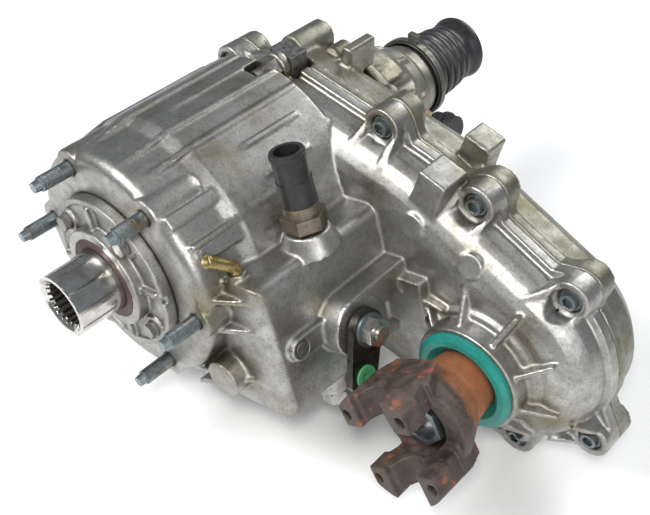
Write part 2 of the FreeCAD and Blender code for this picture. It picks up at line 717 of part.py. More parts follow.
def chain_path():
    # joint stations along the loop: two straight runs and two half wraps
    a = math.radians(DROP_DEG)
    total = 2.0 * CENTRES + 2.0 * math.pi * SPROCKET_R
    n = SPROCKET_TEETH + CENTRE_PITCHES
    step = total / n
    pts = []
    for i in range(n):
        s = i * step
        if s < CENTRES:
            q = (s, SPROCKET_R)
        elif s < CENTRES + math.pi * SPROCKET_R:
            t = math.pi / 2 - (s - CENTRES) / SPROCKET_R
            q = (CENTRES + SPROCKET_R * math.cos(t), SPROCKET_R * math.sin(t))
        elif s < 2 * CENTRES + math.pi * SPROCKET_R:
            q = (CENTRES - (s - CENTRES - math.pi * SPROCKET_R), -SPROCKET_R)
        else:
            t = -math.pi / 2 - (s - 2 * CENTRES - math.pi * SPROCKET_R) / SPROCKET_R
            q = (SPROCKET_R * math.cos(t), SPROCKET_R * math.sin(t))
        pts.append(hull_point(q[0], q[1]))
    return pts


def drive_chain():
    pts = chain_path()
    n = len(pts)
    mid = hull_point(CENTRES / 2.0, 0)
    links = []
    for i in range(n):
        a = pts[i]
        b = pts[(i + 1) % n]
        d = b.sub(a)
        d.normalize()
        out = V(-d.z, 0, d.x)
        if out.dot(a.sub(mid)) < 0:
            out = out * -1.0
        c0 = a + d * 0.35
        c1 = b - d * 0.35
        quad = [c0 + out * 1.4, c1 + out * 1.4, c1 + out * 5.6 - d * 1.0, c0 + out * 5.6 + d * 1.0]
        links.append(prism([(p.x, p.z) for p in quad], 148.5, 171.5))
    return Part.makeCompound(links)


def oil_pump():
    body = fuse([cyl(40, 178, 186.5), hull_block(-12, 12, -52, -20, 178, 186.5)])
    return body.cut(cyl(19.1, 177, 188))


def pickup_tube():
    a = hull_point(0, -44, 182.25)
    b = hull_point(60, -56, 182.25)
    c = hull_point(108, -60, 182.25)
    screen = Part.makeBox(22, 7, 8, V(c.x - 4, 178.75, c.z - 6))
    tubes = [rod(3.2, a, b), rod(3.2, b, c), Part.makeSphere(3.2, b), screen]
    body = fuse(tubes)
    return body.cut(fuse([cyl(40, 177, 188), hull_block(-12, 12, -52, -20, 177, 188)]))


def speed_ring():
    return gear_prism(spline_points(28, 27, 24.5), 218, 226).cut(cyl(17.5, 217, 227))


# ---------------------------------------------------------------- rear end

def rear_extension():
    outer = lathe([(0, 206), (42, 206), (42, 212.2), (54, 212.2), (54, 219), (47, 224), (45, 244), (36, 256),
                   (33, 268), (29, 272), (29, 281), (27, 283), (27, EXT_END_Y), (0, EXT_END_Y)])
    ears = [cyl(9, 213, 219.5, polar(50, 45 + 90 * i).x, polar(50, 45 + 90 * i).z) for i in range(4)]
    ribs = []
    for deg in (20, 70, 110, 160, 200, 250, 290, 340):
        pts = [V(30, 215, 0), V(51, 215, 0), V(47, 230, 0), V(37, 262, 0), V(28, 270, 0)]
        g = Part.Face(Part.makePolygon(pts + [pts[0]])).extrude(V(0, 0, 4))
        g.translate(V(0, 0, -2))
        g.rotate(V(0, 0, 0), YAX, -deg)
        ribs.append(g)
    body = fuse([outer] + ears + ribs)
    inner = lathe([(0, 200), (37, 200), (37, 240), (24, 258), (24, 274), (23, 274), (23, 290), (0, 290)])
    cuts = [inner]
    for i in range(4):
        p = polar(46, 45 + 90 * i)
        cuts.append(cyl(3.5, 205, 226, p.x, p.z))
        cuts.append(cyl(7.6, 219.5, 262, p.x, p.z))
    c = SENSOR
    cuts.append(rod(7.0, V(c[0], c[1], c[2]), V(c[0] + 40 * c[3], c[1], c[2] + 40 * c[4])))
    return cut_all(body, cuts)


SENSOR = (28.5 * math.cos(math.radians(SENSOR_DEG)), 234.0, 28.5 * math.sin(math.radians(SENSOR_DEG)),
          math.cos(math.radians(SENSOR_DEG)), math.sin(math.radians(SENSOR_DEG)))


def sensor_at(r):
    return V(r * SENSOR[3], SENSOR[1], r * SENSOR[4])


def speed_sensor():
    return fuse([rod(6.8, sensor_at(29.5), sensor_at(50)), rod(10, sensor_at(50), sensor_at(54)),
                 rod(7.5, sensor_at(54), sensor_at(66))])


def sensor_connector():
    body = rod(9.0, sensor_at(66.3), sensor_at(84))
    lip = rod(10.5, sensor_at(74), sensor_at(77))
    return body.fuse(lip).removeSplitter()


def extension_bolts():
    out = []
    for i in range(4):
        p = polar(46, 45 + 90 * i)
        out.append(hex_bolt(11.0, 6.0, 20, 3.5, p.x, p.z, 219.5, 1))
    return Part.makeCompound(out)


def rear_seal():
    return lathe([(23, 275), (23, 285), (21.5, 285), (21.5, 277), (19, 277), (17.3, 280), (17.3, 276), (18.5, 275)])


def rubber_boot():
    # folds outside, plain inside, and a straight mouth behind the neck
    pts = [(31.0, 282.5), (31.0, 290), (27.5, 292)]
    for k in range(5):
        y = 293.5 + 8.2 * k
        r = BOOT_FOLDS[k]
        pts += [(r - 1.6, y), (r, y + 2.2), (r, y + 5.0), (r - 1.8, y + 7.0)]
    pts += [(22.2, 336), (23.0, 339), (BOOT_END_R, 343), (BOOT_END_R, BOOT_END_Y)]
    back = [(BOOT_MOUTH_R + 1.0, BOOT_END_Y), (BOOT_MOUTH_R, BOOT_END_Y - 1.0), (BOOT_MOUTH_R, BOOT_END_Y - 10.0),
            (21.2, 334), (21.8, 294), (24.6, 290), (27.3, 288), (27.3, 286.3), (29.3, 282.5)]
    return lathe(pts + back)


def boot_clamp():
    band = tube(32.2, 31.05, 284, 289)
    lug = Part.makeBox(8, 5, 7, V(-4, 284, 31.6))
    return band.fuse(lug).removeSplitter()


# ---------------------------------------------------------------- front output

def front_output_shaft():
    body = [cyl(12, 66, 82, FX, FZ), cyl(16, 81, 113, FX, FZ), cyl(17, 112, 131, FX, FZ), cyl(20, 130.5, 142, FX, FZ),
            cyl(19, 141, 179, FX, FZ), cyl(12, 178, 198, FX, FZ)]
    return fuse(body)


def output_seal():
    return lathe([(31.5, 109), (31.5, 104), (34.5, 104), (34.5, 101.5), (31, 99.5), (27, 99.5), (24.5, 102),
                  (22.15, 104), (22.15, 107), (24.5, 107), (24.5, 109)], FX, FZ)


def yoke_frame(e, w, y):
    a = math.radians(YOKE_DEG)
    return V(FX + e * math.cos(a) + w * math.sin(a), y, FZ + e * math.sin(a) - w * math.cos(a))


def yoke_block(e0, e1, w0, w1, y0, y1):
    pts = [yoke_frame(e, w, 0) for e, w in ((e0, w0), (e1, w0), (e1, w1), (e0, w1))]
    return prism([(p.x, p.z) for p in pts], y0, y1)


def yoke_slope(e0, e1, half0, half1, y0, y1):
    # one ear: a slab between e0 and e1 whose half width grows from half1 at y1 to half0 at y0
    pts = [yoke_frame(e0, -half1, y1), yoke_frame(e0, half1, y1), yoke_frame(e0, half0, y0),
           yoke_frame(e0, -half0, y0)]
    face = Part.Face(Part.makePolygon(pts + [pts[0]]))
    return face.extrude(yoke_frame(e1, 0, 0).sub(yoke_frame(e0, 0, 0)))


def front_yoke():
    body = [cyl(YOKE_R, 70, 112, FX, FZ), cone(24, YOKE_R, 86, 97, FX, FZ), cone(33, 24, 68, 86, FX, FZ),
            cyl(33, 60, 68, FX, FZ)]
    for side in (1, -1):
        body.append(yoke_slope(side * 16, side * 35, 27, 22, 36, 62))
        body.append(yoke_slope(side * 13, side * 33, 26, 17, 58, 78))
        body.append(yoke_block(side * 15, side * 37, -28, -14, 31, 46))
        body.append(yoke_block(side * 15, side * 37, 14, 28, 31, 46))
    solid = fuse(body).common(cyl(39.8, 20, 120, FX, FZ))
    cuts = [cyl(16.0, 80.9, 114, FX, FZ), cyl(12.1, 60, 82, FX, FZ), cyl(19, 50, 69.5, FX, FZ)]
    cuts.append(rod(12.5, yoke_frame(-40, 0, CROSS_Y - 2), yoke_frame(40, 0, CROSS_Y - 2)))
    cuts.append(yoke_block(-40, 40, -12.5, 12.5, 20, CROSS_Y - 2))
    for side in (1, -1):
        for w in (-STRAP_AT, STRAP_AT):
            c = yoke_frame(side * STRAP_AT, w, 0)
            cuts.append(cyl(3.6, 30, 44, c.x, c.z))
    return cut_all(solid, cuts)


def yoke_nut():
    n = fuse([hexagon(29, 58.5, 67, FX, FZ), cyl(17.5, 66, 69.4, FX, FZ)])
    return n.cut(cyl(12.0, 55, 70, FX, FZ))


# ---------------------------------------------------------------- shift mechanism


def lever_dir(deg):
    # direction in the wall plane, deg from +v towards +Y
    a = math.radians(deg)
    return (math.cos(a), math.sin(a))


def wall_prism(points, u0, u1):
    # polygon of (v, y) pairs in the wall plane pushed along u
    pts = [box_point(u0, LEVER_V + v, LEVER_Y + y) for v, y in points]
    face = Part.Face(Part.makePolygon(pts + [pts[0]]))
    return face.extrude(box_point(u1 - u0, 0, 0))


def lever_local(a, b):
    # a along the lever, b across it
    c, s = lever_dir(LEVER_DEG)
    return (a * c - b * s, a * s + b * c)


def shift_lever():
    t = 5.0
    plate = wall_prism([lever_local(a, b) for a, b in ((0, -13), (37, -11), (41, -7), (41, 7), (37, 11), (0, 13))],
                       LEVER_U, LEVER_U + t)
    top = box_rod(13, LEVER_U, LEVER_U + t, LEVER_V, LEVER_Y)
    v, y = lever_local(31, 0)
    hole = box_rod(6.0, LEVER_U - 1, LEVER_U + t + 1, LEVER_V + v, LEVER_Y + y)
    flats = box_rod(7.0, LEVER_U - 1, LEVER_U + t + 1, LEVER_V, LEVER_Y)
    return fuse([plate, top]).cut(hole).cut(flats)


def lever_grommet():
    v, y = lever_local(31, 0)
    v += LEVER_V
    y += LEVER_Y
    body = fuse([box_rod(6.0, LEVER_U, LEVER_U + 5, v, y), box_rod(7.6, LEVER_U + 5, LEVER_U + 6.6, v, y),
                 box_rod(7.6, LEVER_U - 1.6, LEVER_U, v, y)])
    return body.cut(box_rod(3.8, LEVER_U - 3, LEVER_U + 8, v, y))


def sector_shaft():
    body = [box_rod(8.95, 94, LEVER_U, LEVER_V, LEVER_Y), box_rod(7.0, LEVER_U - 1, LEVER_U + 5, LEVER_V, LEVER_Y),
            box_rod(5.0, LEVER_U + 4, LEVER_U + 17, LEVER_V, LEVER_Y)]
    return fuse(body)


def lever_washer():
    return box_rod(11, LEVER_U + 5, LEVER_U + 7, LEVER_V, LEVER_Y).cut(box_rod(5.0, LEVER_U, LEVER_U + 8, LEVER_V, LEVER_Y))


def lever_nut():
    r = 16.0 / math.sqrt(3.0)
    pts = [(r * math.cos(math.radians(60 * i + 10)), r * math.sin(math.radians(60 * i + 10))) for i in range(6)]
    n = wall_prism(pts, LEVER_U + 7, LEVER_U + 14.5)
    return n.cut(box_rod(5.0, LEVER_U + 5, LEVER_U + 16, LEVER_V, LEVER_Y))


def shift_sector():
    # arm inside the case on the selector shaft, with a pin that drives the block on the rail,
    # and a quadrant whose two dimples take the detent plunger at the ends of the lever's travel
    plate = wall_prism([(8, -12), (-PIN_ARM, -7), (-PIN_ARM, 7), (8, 12)], 95, 99.5)
    end = box_rod(7, 95, 99.5, LEVER_V - PIN_ARM, LEVER_Y)
    pin = box_rod(4, 87, 96, LEVER_V - PIN_ARM, LEVER_Y)
    boss = box_rod(12.5, 94, 102, LEVER_V, LEVER_Y)
    quadrant = wall_prism([(-8, -4), (-20, -36), (-14, -42), (10, -44), (14, -38), (9, -4)], 95, 98.2)
    cuts = [box_rod(8.95, 90, 110, LEVER_V, LEVER_Y)]
    dv = DETENT_V - LEVER_V
    dy = DETENT_Y - LEVER_Y
    for deg in (0.0, -SHIFT_DEG):
        c, s = lever_dir(deg)
        v = dv * c - dy * s
        y = dv * s + dy * c
        cuts.append(Part.makeSphere(4.8, box_point(102.0, LEVER_V + v, LEVER_Y + y)))
    return cut_all(fuse([plate, end, pin, boss, quadrant]), cuts)


def shift_rail():
    block = box_block(RAIL_U - 9, 93.5, RAIL_V - 12, RAIL_V + 10, LEVER_Y - 9, LEVER_Y + 6.5)
    slot = box_block(86, 96, RAIL_V - 14, RAIL_V + 12, LEVER_Y - 4.3, LEVER_Y + 4.3)
    return cyl(RAIL_R, 34, 196, RAIL_X, RAIL_Z).fuse(block).cut(slot).removeSplitter()


def fork(y, groove_r, y_half, hub_y0, hub_y1):
    d = math.atan2(RAIL_Z, RAIL_X)
    outer = groove_r + 12.0
    arc_solid = tube(outer, groove_r + 0.4, y - y_half, y + y_half)
    keep = Part.makeBox(200, 40, 2 * outer + 10, V(-4, y - 20, -outer - 5))
    keep.rotate(V(0, 0, 0), YAX, -math.degrees(d))
    arc_solid = arc_solid.common(keep)
    arm_pts = []
    n = (math.cos(d), math.sin(d))
    t = (-n[1], n[0])
    r0 = outer - 4.0
    r1 = math.hypot(RAIL_X, RAIL_Z)
    for a, b in ((r0, -14), (r0, 14), (r1, 9), (r1, -9)):
        arm_pts.append((n[0] * a + t[0] * b, n[1] * a + t[1] * b))
    arm = prism(arm_pts, y - y_half, y + y_half)
    hub = cyl(12, hub_y0, hub_y1, RAIL_X, RAIL_Z)
    body = fuse([arc_solid, arm, hub])
    return body.cut(cyl(RAIL_R + 0.05, hub_y0 - 1, hub_y1 + 1, RAIL_X, RAIL_Z))


def range_fork():
    return fork(87.0, 26.4, 2.6, 81, 94)


def mode_fork():
    return fork(125.5, 41.4, 4.0, 120, 142)


def detent_plug():
    return box_rod(4.9, 108, BOX_U + 5.5, DETENT_V, DETENT_Y)


def detent_plunger():
    tip = Part.makeSphere(4.5, box_point(103.0, DETENT_V, DETENT_Y)).common(box_rod(5, 98, 104, DETENT_V, DETENT_Y))
    return fuse([box_rod(4.9, 103.0, 106.2, DETENT_V, DETENT_Y), tip])


# ---------------------------------------------------------------- fittings and fasteners


def vent_fitting():
    t = BOX_TOP + 4

    def p(du, dv, dy):
        return box_point(VENT_U + du, t + dv, VENT_Y + dy)
    body = [rod(2.5, p(0, -8, 0), p(0, 1, 0)), rod(4.4, p(0, 0, 0), p(0, 3.5, 0)), rod(3.4, p(0, 3, 0), p(0, 7, -2)),
            Part.makeSphere(4.0, p(0, 7, -2)), rod(3.7, p(0, 7, -2), p(-2, 17, -16)),
            rod(2.4, p(0, 11, -7), p(-2, 15, -4))]
    bore = rod(2.3, p(-2.1, 17.4, -16.6), p(-1, 12, -9))
    return fuse(body).cut(bore)


def sw_point(h):
    return box_point(SW_U, SWITCH_V + h, SW_Y)


def v_hex(across, h0, h1):
    r = across / math.sqrt(3.0)
    pts = []
    for i in range(6):
        a = math.radians(60 * i)
        pts.append(box_point(SW_U + r * math.cos(a), SWITCH_V + h0, SW_Y + r * math.sin(a)))
    return Part.Face(Part.makePolygon(pts + [pts[0]])).extrude(box_point(0, h1 - h0, 0))


def mode_switch():
    return fuse([rod(8.0, sw_point(-16), sw_point(5)), v_hex(25, 4.0, 13), rod(11.5, sw_point(12.5), sw_point(20))])


def switch_cap():
    return fuse([rod(11.0, sw_point(20), sw_point(36)), rod(10.4, sw_point(36), sw_point(54)),
                 rod(11.0, sw_point(50), sw_point(52.5))]).cut(rod(8.0, sw_point(44), sw_point(56)))


def lower_plug():
    r = 17.0 / math.sqrt(3.0)
    pts = []
    for i in range(6):
        a = math.radians(60 * i)
        pts.append(box_point(PLUG_U + r * math.cos(a), -106.0, PLUG_Y + r * math.sin(a)))
    head = Part.Face(Part.makePolygon(pts + [pts[0]])).extrude(box_point(0, -8, 0))
    return fuse([head, rod(7.0, box_point(PLUG_U, -106, PLUG_Y), box_point(PLUG_U, -90, PLUG_Y))])


def case_bolts():
    out = []
    for s, h, deg in LUGS:
        c = hull_point(s, h)
        shank = cyl(BOLT_R, LUG_SEAT_Y - 1, SEAM_Y + 13, c.x, c.z)
        flange = cyl(7.2, LUG_SEAT_Y - 1.6, LUG_SEAT_Y, c.x, c.z)
        head = cone(5.2, 5.8, LUG_SEAT_Y - 5.5, LUG_SEAT_Y - 1.5, c.x, c.z)
        b = fuse([shank, flange, head]).cut(hexagon(6.5, LUG_SEAT_Y - 6, LUG_SEAT_Y - 2.5, c.x, c.z))
        out.append(b)
    return Part.makeCompound(out)


def corner_bolt():
    return fuse([cyl(5.0, 124, 149, CORNER_X, CORNER_Z),
                 Part.makeBox(20, 14, 17, V(CORNER_X - 10, 148.0, CORNER_Z - 9))])


def corner_nut():
    return hexagon(16, 132.5, 141, CORNER_X, CORNER_Z, 12).cut(cyl(5.0, 130, 144, CORNER_X, CORNER_Z))


def case_dowels():
    out = []
    for s, h in DOWELS:
        c = hull_point(s, h)
        out.append(cyl(4.0, SEAM_Y - 7.5, SEAM_Y + 7.5, c.x, c.z))
    return Part.makeCompound(out)


def oil_plugs():
    out = []
    for s, h in PLUGS:
        c = hull_point(s, h)
        out.append(cyl(9.0, 190, 206, c.x, c.z).fuse(hexagon(20, 205.5, 211, c.x, c.z)).removeSplitter())
    return Part.makeCompound(out)


def chip_magnet():
    c = hull_point(150, -70)
    return Part.makeBox(24, 6, 12, V(c.x - 12, SEAM_Y + 14, c.z + 1))


NODES = {
    "front_case": front_case, "rear_case": rear_case, "input_retainer": input_retainer,
    "retainer_bolts": retainer_bolts, "input_seal": input_seal, "mounting_studs": mounting_studs,
    "input_bearing": lambda: bearing(36.0, 21.05, 1.0, 17.0),
    "annulus_gear": annulus_gear, "input_gear": input_gear, "planet_carrier": planet_carrier,
    "planet_pins": planet_pins, "planet_gear_1": lambda: planet_gear(0), "planet_gear_2": lambda: planet_gear(1),
    "planet_gear_3": lambda: planet_gear(2), "planet_gear_4": lambda: planet_gear(3),
    "range_hub": range_hub, "mainshaft": mainshaft, "mode_hub": mode_hub, "mode_sleeve": mode_sleeve,
    "drive_sprocket": drive_sprocket, "driven_sprocket": driven_sprocket, "drive_chain": drive_chain,
    "oil_pump": oil_pump, "pickup_tube": pickup_tube, "speed_ring": speed_ring,
    "mainshaft_bearing": lambda: bearing(36.0, 20.05, 189.0, 205.0),
    "rear_extension": rear_extension, "extension_bolts": extension_bolts, "rear_seal": rear_seal,
    "rubber_boot": rubber_boot, "boot_clamp": boot_clamp,
    "speed_sensor": speed_sensor, "sensor_connector": sensor_connector,
    "front_output_shaft": front_output_shaft,
    "output_bearing_front": lambda: bearing(31.0, 17.05, 113.0, 130.0, FX, FZ),
    "output_bearing_rear": lambda: bearing(26.0, 12.05, 185.0, 198.5, FX, FZ, 8),
    "output_seal": output_seal, "front_yoke": front_yoke, "yoke_nut": yoke_nut,
    "shift_lever": shift_lever, "lever_grommet": lever_grommet, "sector_shaft": sector_shaft,
    "lever_washer": lever_washer, "lever_nut": lever_nut, "shift_sector": shift_sector,
    "shift_rail": shift_rail, "range_fork": range_fork, "mode_fork": mode_fork,
    "detent_plug": detent_plug, "detent_plunger": detent_plunger,
    "vent_fitting": vent_fitting, "mode_switch": mode_switch, "switch_cap": switch_cap,
    "lower_plug": lower_plug, "case_bolts": case_bolts, "corner_bolt": corner_bolt, "corner_nut": corner_nut,
    "case_dowels": case_dowels, "oil_plugs": oil_plugs, "chip_magnet": chip_magnet,
}

for node, make in NODES.items():
    save(node, make())
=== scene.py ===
import json
import math

import bmesh
import bpy
import numpy as np
from mathutils import Matrix, Vector


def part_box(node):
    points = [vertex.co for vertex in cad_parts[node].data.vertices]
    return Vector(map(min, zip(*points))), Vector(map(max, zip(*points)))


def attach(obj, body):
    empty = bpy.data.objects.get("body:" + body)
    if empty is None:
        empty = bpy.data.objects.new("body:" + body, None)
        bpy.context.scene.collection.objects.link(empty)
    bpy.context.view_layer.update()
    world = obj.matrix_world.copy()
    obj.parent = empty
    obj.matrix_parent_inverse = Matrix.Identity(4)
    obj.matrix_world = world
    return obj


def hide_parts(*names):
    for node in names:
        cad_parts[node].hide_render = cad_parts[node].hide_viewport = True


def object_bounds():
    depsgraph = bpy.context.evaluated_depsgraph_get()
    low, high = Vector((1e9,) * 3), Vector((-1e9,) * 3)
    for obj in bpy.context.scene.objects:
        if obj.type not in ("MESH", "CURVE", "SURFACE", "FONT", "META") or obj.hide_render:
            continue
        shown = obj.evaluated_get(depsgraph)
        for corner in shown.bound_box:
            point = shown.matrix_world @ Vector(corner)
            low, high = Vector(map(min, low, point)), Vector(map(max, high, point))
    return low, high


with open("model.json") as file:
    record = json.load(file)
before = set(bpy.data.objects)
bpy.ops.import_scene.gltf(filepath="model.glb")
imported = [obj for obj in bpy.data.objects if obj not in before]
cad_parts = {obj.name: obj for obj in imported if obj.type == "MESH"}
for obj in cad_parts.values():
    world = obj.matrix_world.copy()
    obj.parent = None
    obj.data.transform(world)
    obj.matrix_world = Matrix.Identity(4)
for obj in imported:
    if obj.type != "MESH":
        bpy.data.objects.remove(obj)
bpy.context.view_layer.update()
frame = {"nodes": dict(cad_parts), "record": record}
NODES = frame["nodes"]
MM = 0.001

# shaft layout and directions, in metres
FRONT_LO, FRONT_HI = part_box("output_seal")
FX = (FRONT_LO.x + FRONT_HI.x) / 2
FZ = (FRONT_LO.z + FRONT_HI.z) / 2
DROP = math.atan2(FZ, FX)
BOX_TURN = math.radians(17.0)

# ejector-pin discs on the chain housing: place along and across it, y, lean, radius, in mm and radians
PIN_DISCS = ((122.0, 60.0, 123.5, 0.15, 9.0), (165.0, 61.5, 126.0, 0.45, 8.5))

# how hard an inside corner must bend before it is filled, as a share of the voxel size
FILLET_START = 0.06
FILLET_SPAN = 0.06

# waves that make a cast wall uneven
WAVE_COUNT = 14
WAVE_MM = (14.0, 45.0)

ELBOW_SIDES = 32


# ---------------------------------------------------------------- materials

def new_material(name):
    mat = bpy.data.materials.new(name)
    mat.use_nodes = True
    tree = mat.node_tree
    tree.nodes.clear()
    out = tree.nodes.new("ShaderNodeOutputMaterial")
    bsdf = tree.nodes.new("ShaderNodeBsdfPrincipled")
    tree.links.new(bsdf.outputs[0], out.inputs[0])
    return mat, tree, bsdf


def add(tree, kind, inputs=None, **props):
    node = tree.nodes.new(kind)
    for key, value in props.items():
        setattr(node, key, value)
    for key, value in (inputs or {}).items():
        sock = node.inputs[key]
        if isinstance(value, bpy.types.NodeSocket):
            tree.links.new(value, sock)
        else:
            sock.default_value = value
    return node


def coords(tree, scale=(1, 1, 1), move=(0, 0, 0)):
    tc = add(tree, "ShaderNodeTexCoord")
    mp = add(tree, "ShaderNodeMapping", {"Vector": tc.outputs["Object"], "Scale": scale, "Location": move})
    return mp.outputs[0]


def noise(tree, vec, scale, detail=4.0, rough=0.55, distort=0.0):
    n = add(tree, "ShaderNodeTexNoise", {"Vector": vec, "Scale": scale, "Detail": detail, "Roughness": rough,
                                         "Distortion": distort})
    return n.outputs["Fac"]


def ramp(tree, fac, stops):
    node = add(tree, "ShaderNodeValToRGB", {"Fac": fac})
    els = node.color_ramp.elements
    while len(els) < len(stops):
        els.new(0.5)
    for el, (pos, value) in zip(els, stops):
        el.position = pos
        el.color = value if len(value) == 4 else tuple(value) + (1.0,)
    return node.outputs["Color"]


def grey(v):
    return (v, v, v, 1.0)


def mask(tree, fac, lo, hi):
    return ramp(tree, fac, ((lo, grey(0.0)), (hi, grey(1.0))))


def mix(tree, fac, a, b, kind="MIX"):
    node = add(tree, "ShaderNodeMix", data_type="RGBA", blend_type=kind)
    for sock, value in ((node.inputs[0], fac), (node.inputs[6], a), (node.inputs[7], b)):
        if isinstance(value, bpy.types.NodeSocket):
            tree.links.new(value, sock)
        elif sock == node.inputs[0]:
            sock.default_value = value
        else:
            sock.default_value = tuple(value) if len(value) == 4 else tuple(value) + (1.0,)
    return node.outputs[2]


def math_node(tree, op, a, b=0.0):
    node = add(tree, "ShaderNodeMath", operation=op)
    for sock, value in ((node.inputs[0], a), (node.inputs[1], b)):
        if isinstance(value, bpy.types.NodeSocket):
            tree.links.new(value, sock)
        else:
            sock.default_value = value
    return node.outputs[0]


def crevice(tree, distance):
    ao = add(tree, "ShaderNodeAmbientOcclusion", {"Distance": distance}, samples=4)
    return ao.outputs["AO"]


def finish_normal(tree, bsdf, height, strength, distance, round_mm=0.0):
    bump = add(tree, "ShaderNodeBump", {"Height": height, "Strength": strength, "Distance": distance})
    if round_mm:
        bev = add(tree, "ShaderNodeBevel", {"Radius": round_mm * MM}, samples=4)
        tree.links.new(bev.outputs[0], bump.inputs["Normal"])
    tree.links.new(bump.outputs[0], bsdf.inputs["Normal"])


# the crevice amount darkens crevices as painted shade and roughens them; its dark colour serves both the real specks
# and that painted shade
def metal(name, base, alt, stain, rough=(0.3, 0.5), grain=900.0, bump=0.25, crevice_shade=0.6,
          grime_and_shade_color=(0.05, 0.04, 0.03), stain_at=(0.52, 0.68), round_mm=0.5, metallic=1.0,
          spots=0.0, patch=22.0, seed=0.0):
    mat, tree, bsdf = new_material(name)
    vec = coords(tree, move=(seed, seed * 1.7, seed * 0.3))
    big = noise(tree, vec, patch, 5.0, 0.6, 0.3)
    mid = noise(tree, vec, patch * 5.0, 4.0, 0.6)
    fine = noise(tree, vec, grain, 3.0, 0.6)
    color = mix(tree, mask(tree, mid, 0.35, 0.65), base, alt)
    color = mix(tree, mask(tree, big, *stain_at), color, stain)
    # real cast specks and pepper, in the same dark colour that also paints the crevice shade
    if spots:
        cells = add(tree, "ShaderNodeTexVoronoi", {"Vector": vec, "Scale": patch * 14.0}, feature="F1")
        dots = cells.outputs["Distance"]
        near = math_node(tree, "MULTIPLY", ramp(tree, dots, ((0.0, grey(1.0)), (0.22, grey(0.0)))),
                         mask(tree, mid, 0.5, 0.75))
        color = mix(tree, math_node(tree, "MULTIPLY", near, spots), color, grime_and_shade_color)
        pepper = mask(tree, noise(tree, vec, 620.0, 3.0, 0.7), 0.52, 0.66)
        color = mix(tree, math_node(tree, "MULTIPLY", pepper, spots * 0.6), color, grime_and_shade_color)
    # painted shade: where ambient occlusion finds a crevice, the colour is pulled towards the dark colour and the
    # surface is made rougher
    occ = crevice(tree, 0.006)
    crevice_shade_mask = math_node(tree, "MULTIPLY", ramp(tree, occ, ((0.25, grey(1.0)), (0.85, grey(0.0)))), crevice_shade)
    color = mix(tree, crevice_shade_mask, color, grime_and_shade_color)
    tree.links.new(color, bsdf.inputs["Base Color"])
    r = ramp(tree, mid, ((0.3, grey(rough[0])), (0.7, grey(rough[1]))))
    r = mix(tree, crevice_shade_mask, r, grey(0.75))
    tree.links.new(r, bsdf.inputs["Roughness"])
    bsdf.inputs["Metallic"].default_value = metallic
    finish_normal(tree, bsdf, mix(tree, 0.5, fine, mid), bump, 0.0006, round_mm)
    return mat


def rubber(name, base, alt, rough=(0.45, 0.7), grain=700.0, bump=0.2, dust=(0.25, 0.23, 0.2), dust_amount=0.25,
           round_mm=0.5, seed=0.0):
    mat, tree, bsdf = new_material(name)
    vec = coords(tree, move=(seed, 0.3, seed))
    big = noise(tree, vec, 35.0, 5.0, 0.65)
    fine = noise(tree, vec, grain, 3.0, 0.6)
    color = mix(tree, mask(tree, big, 0.35, 0.7), base, alt)
    settle = math_node(tree, "MULTIPLY", mask(tree, noise(tree, vec, 120.0, 6.0, 0.7), 0.5, 0.8), dust_amount)
    color = mix(tree, settle, color, dust)
    tree.links.new(color, bsdf.inputs["Base Color"])
    tree.links.new(ramp(tree, big, ((0.3, grey(rough[0])), (0.7, grey(rough[1])))), bsdf.inputs["Roughness"])
    bsdf.inputs["Specular IOR Level"].default_value = 0.45
    finish_normal(tree, bsdf, fine, bump, 0.0004, round_mm)
    return mat


def rusty(name):
    # orange rust on the hub, dark brown scale with orange blooms on the ears
    mat, tree, bsdf = new_material(name)
    lo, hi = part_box("front_yoke")
    vec = coords(tree, move=(14.0, 2.0, 5.0))
    here = add(tree, "ShaderNodeTexCoord").outputs["Object"]
    y = add(tree, "ShaderNodeSeparateXYZ", {"Vector": here}).outputs["Y"]
    along = math_node(tree, "DIVIDE", math_node(tree, "SUBTRACT", y, lo.y), hi.y - lo.y)
    wander = math_node(tree, "MULTIPLY", math_node(tree, "SUBTRACT", noise(tree, vec, 45.0, 5.0, 0.6), 0.5), 0.55)
    hub = mask(tree, math_node(tree, "ADD", along, wander), 0.50, 0.66)
    bloom = mask(tree, noise(tree, vec, 60.0, 5.0, 0.65), 0.56, 0.68)
    mid = noise(tree, vec, 160.0, 5.0, 0.7)
    fine = noise(tree, vec, 520.0, 4.0, 0.7)
    scale = mix(tree, mask(tree, mid, 0.35, 0.65), (0.034, 0.026, 0.023), (0.085, 0.058, 0.047))
    rust = mix(tree, mask(tree, mid, 0.35, 0.65), (0.36, 0.135, 0.055), (0.22, 0.085, 0.04))
    color = mix(tree, hub, scale, rust)
    color = mix(tree, math_node(tree, "MULTIPLY", bloom, 0.8), color, (0.33, 0.10, 0.045))
    # painted shade: crevices found by ambient occlusion are darkened towards a dark brown
    hidden = ramp(tree, crevice(tree, 0.008), ((0.2, grey(1.0)), (0.8, grey(0.0))))
    crevice_shade_mask = math_node(tree, "MULTIPLY", hidden, 0.7)
    color = mix(tree, crevice_shade_mask, color, (0.035, 0.022, 0.016))
    tree.links.new(color, bsdf.inputs["Base Color"])
    tree.links.new(ramp(tree, mid, ((0.3, grey(0.42)), (0.7, grey(0.72)))), bsdf.inputs["Roughness"])
    bsdf.inputs["Metallic"].default_value = 0.2
    finish_normal(tree, bsdf, mix(tree, 0.5, fine, mid), 0.7, 0.0007)
    return mat
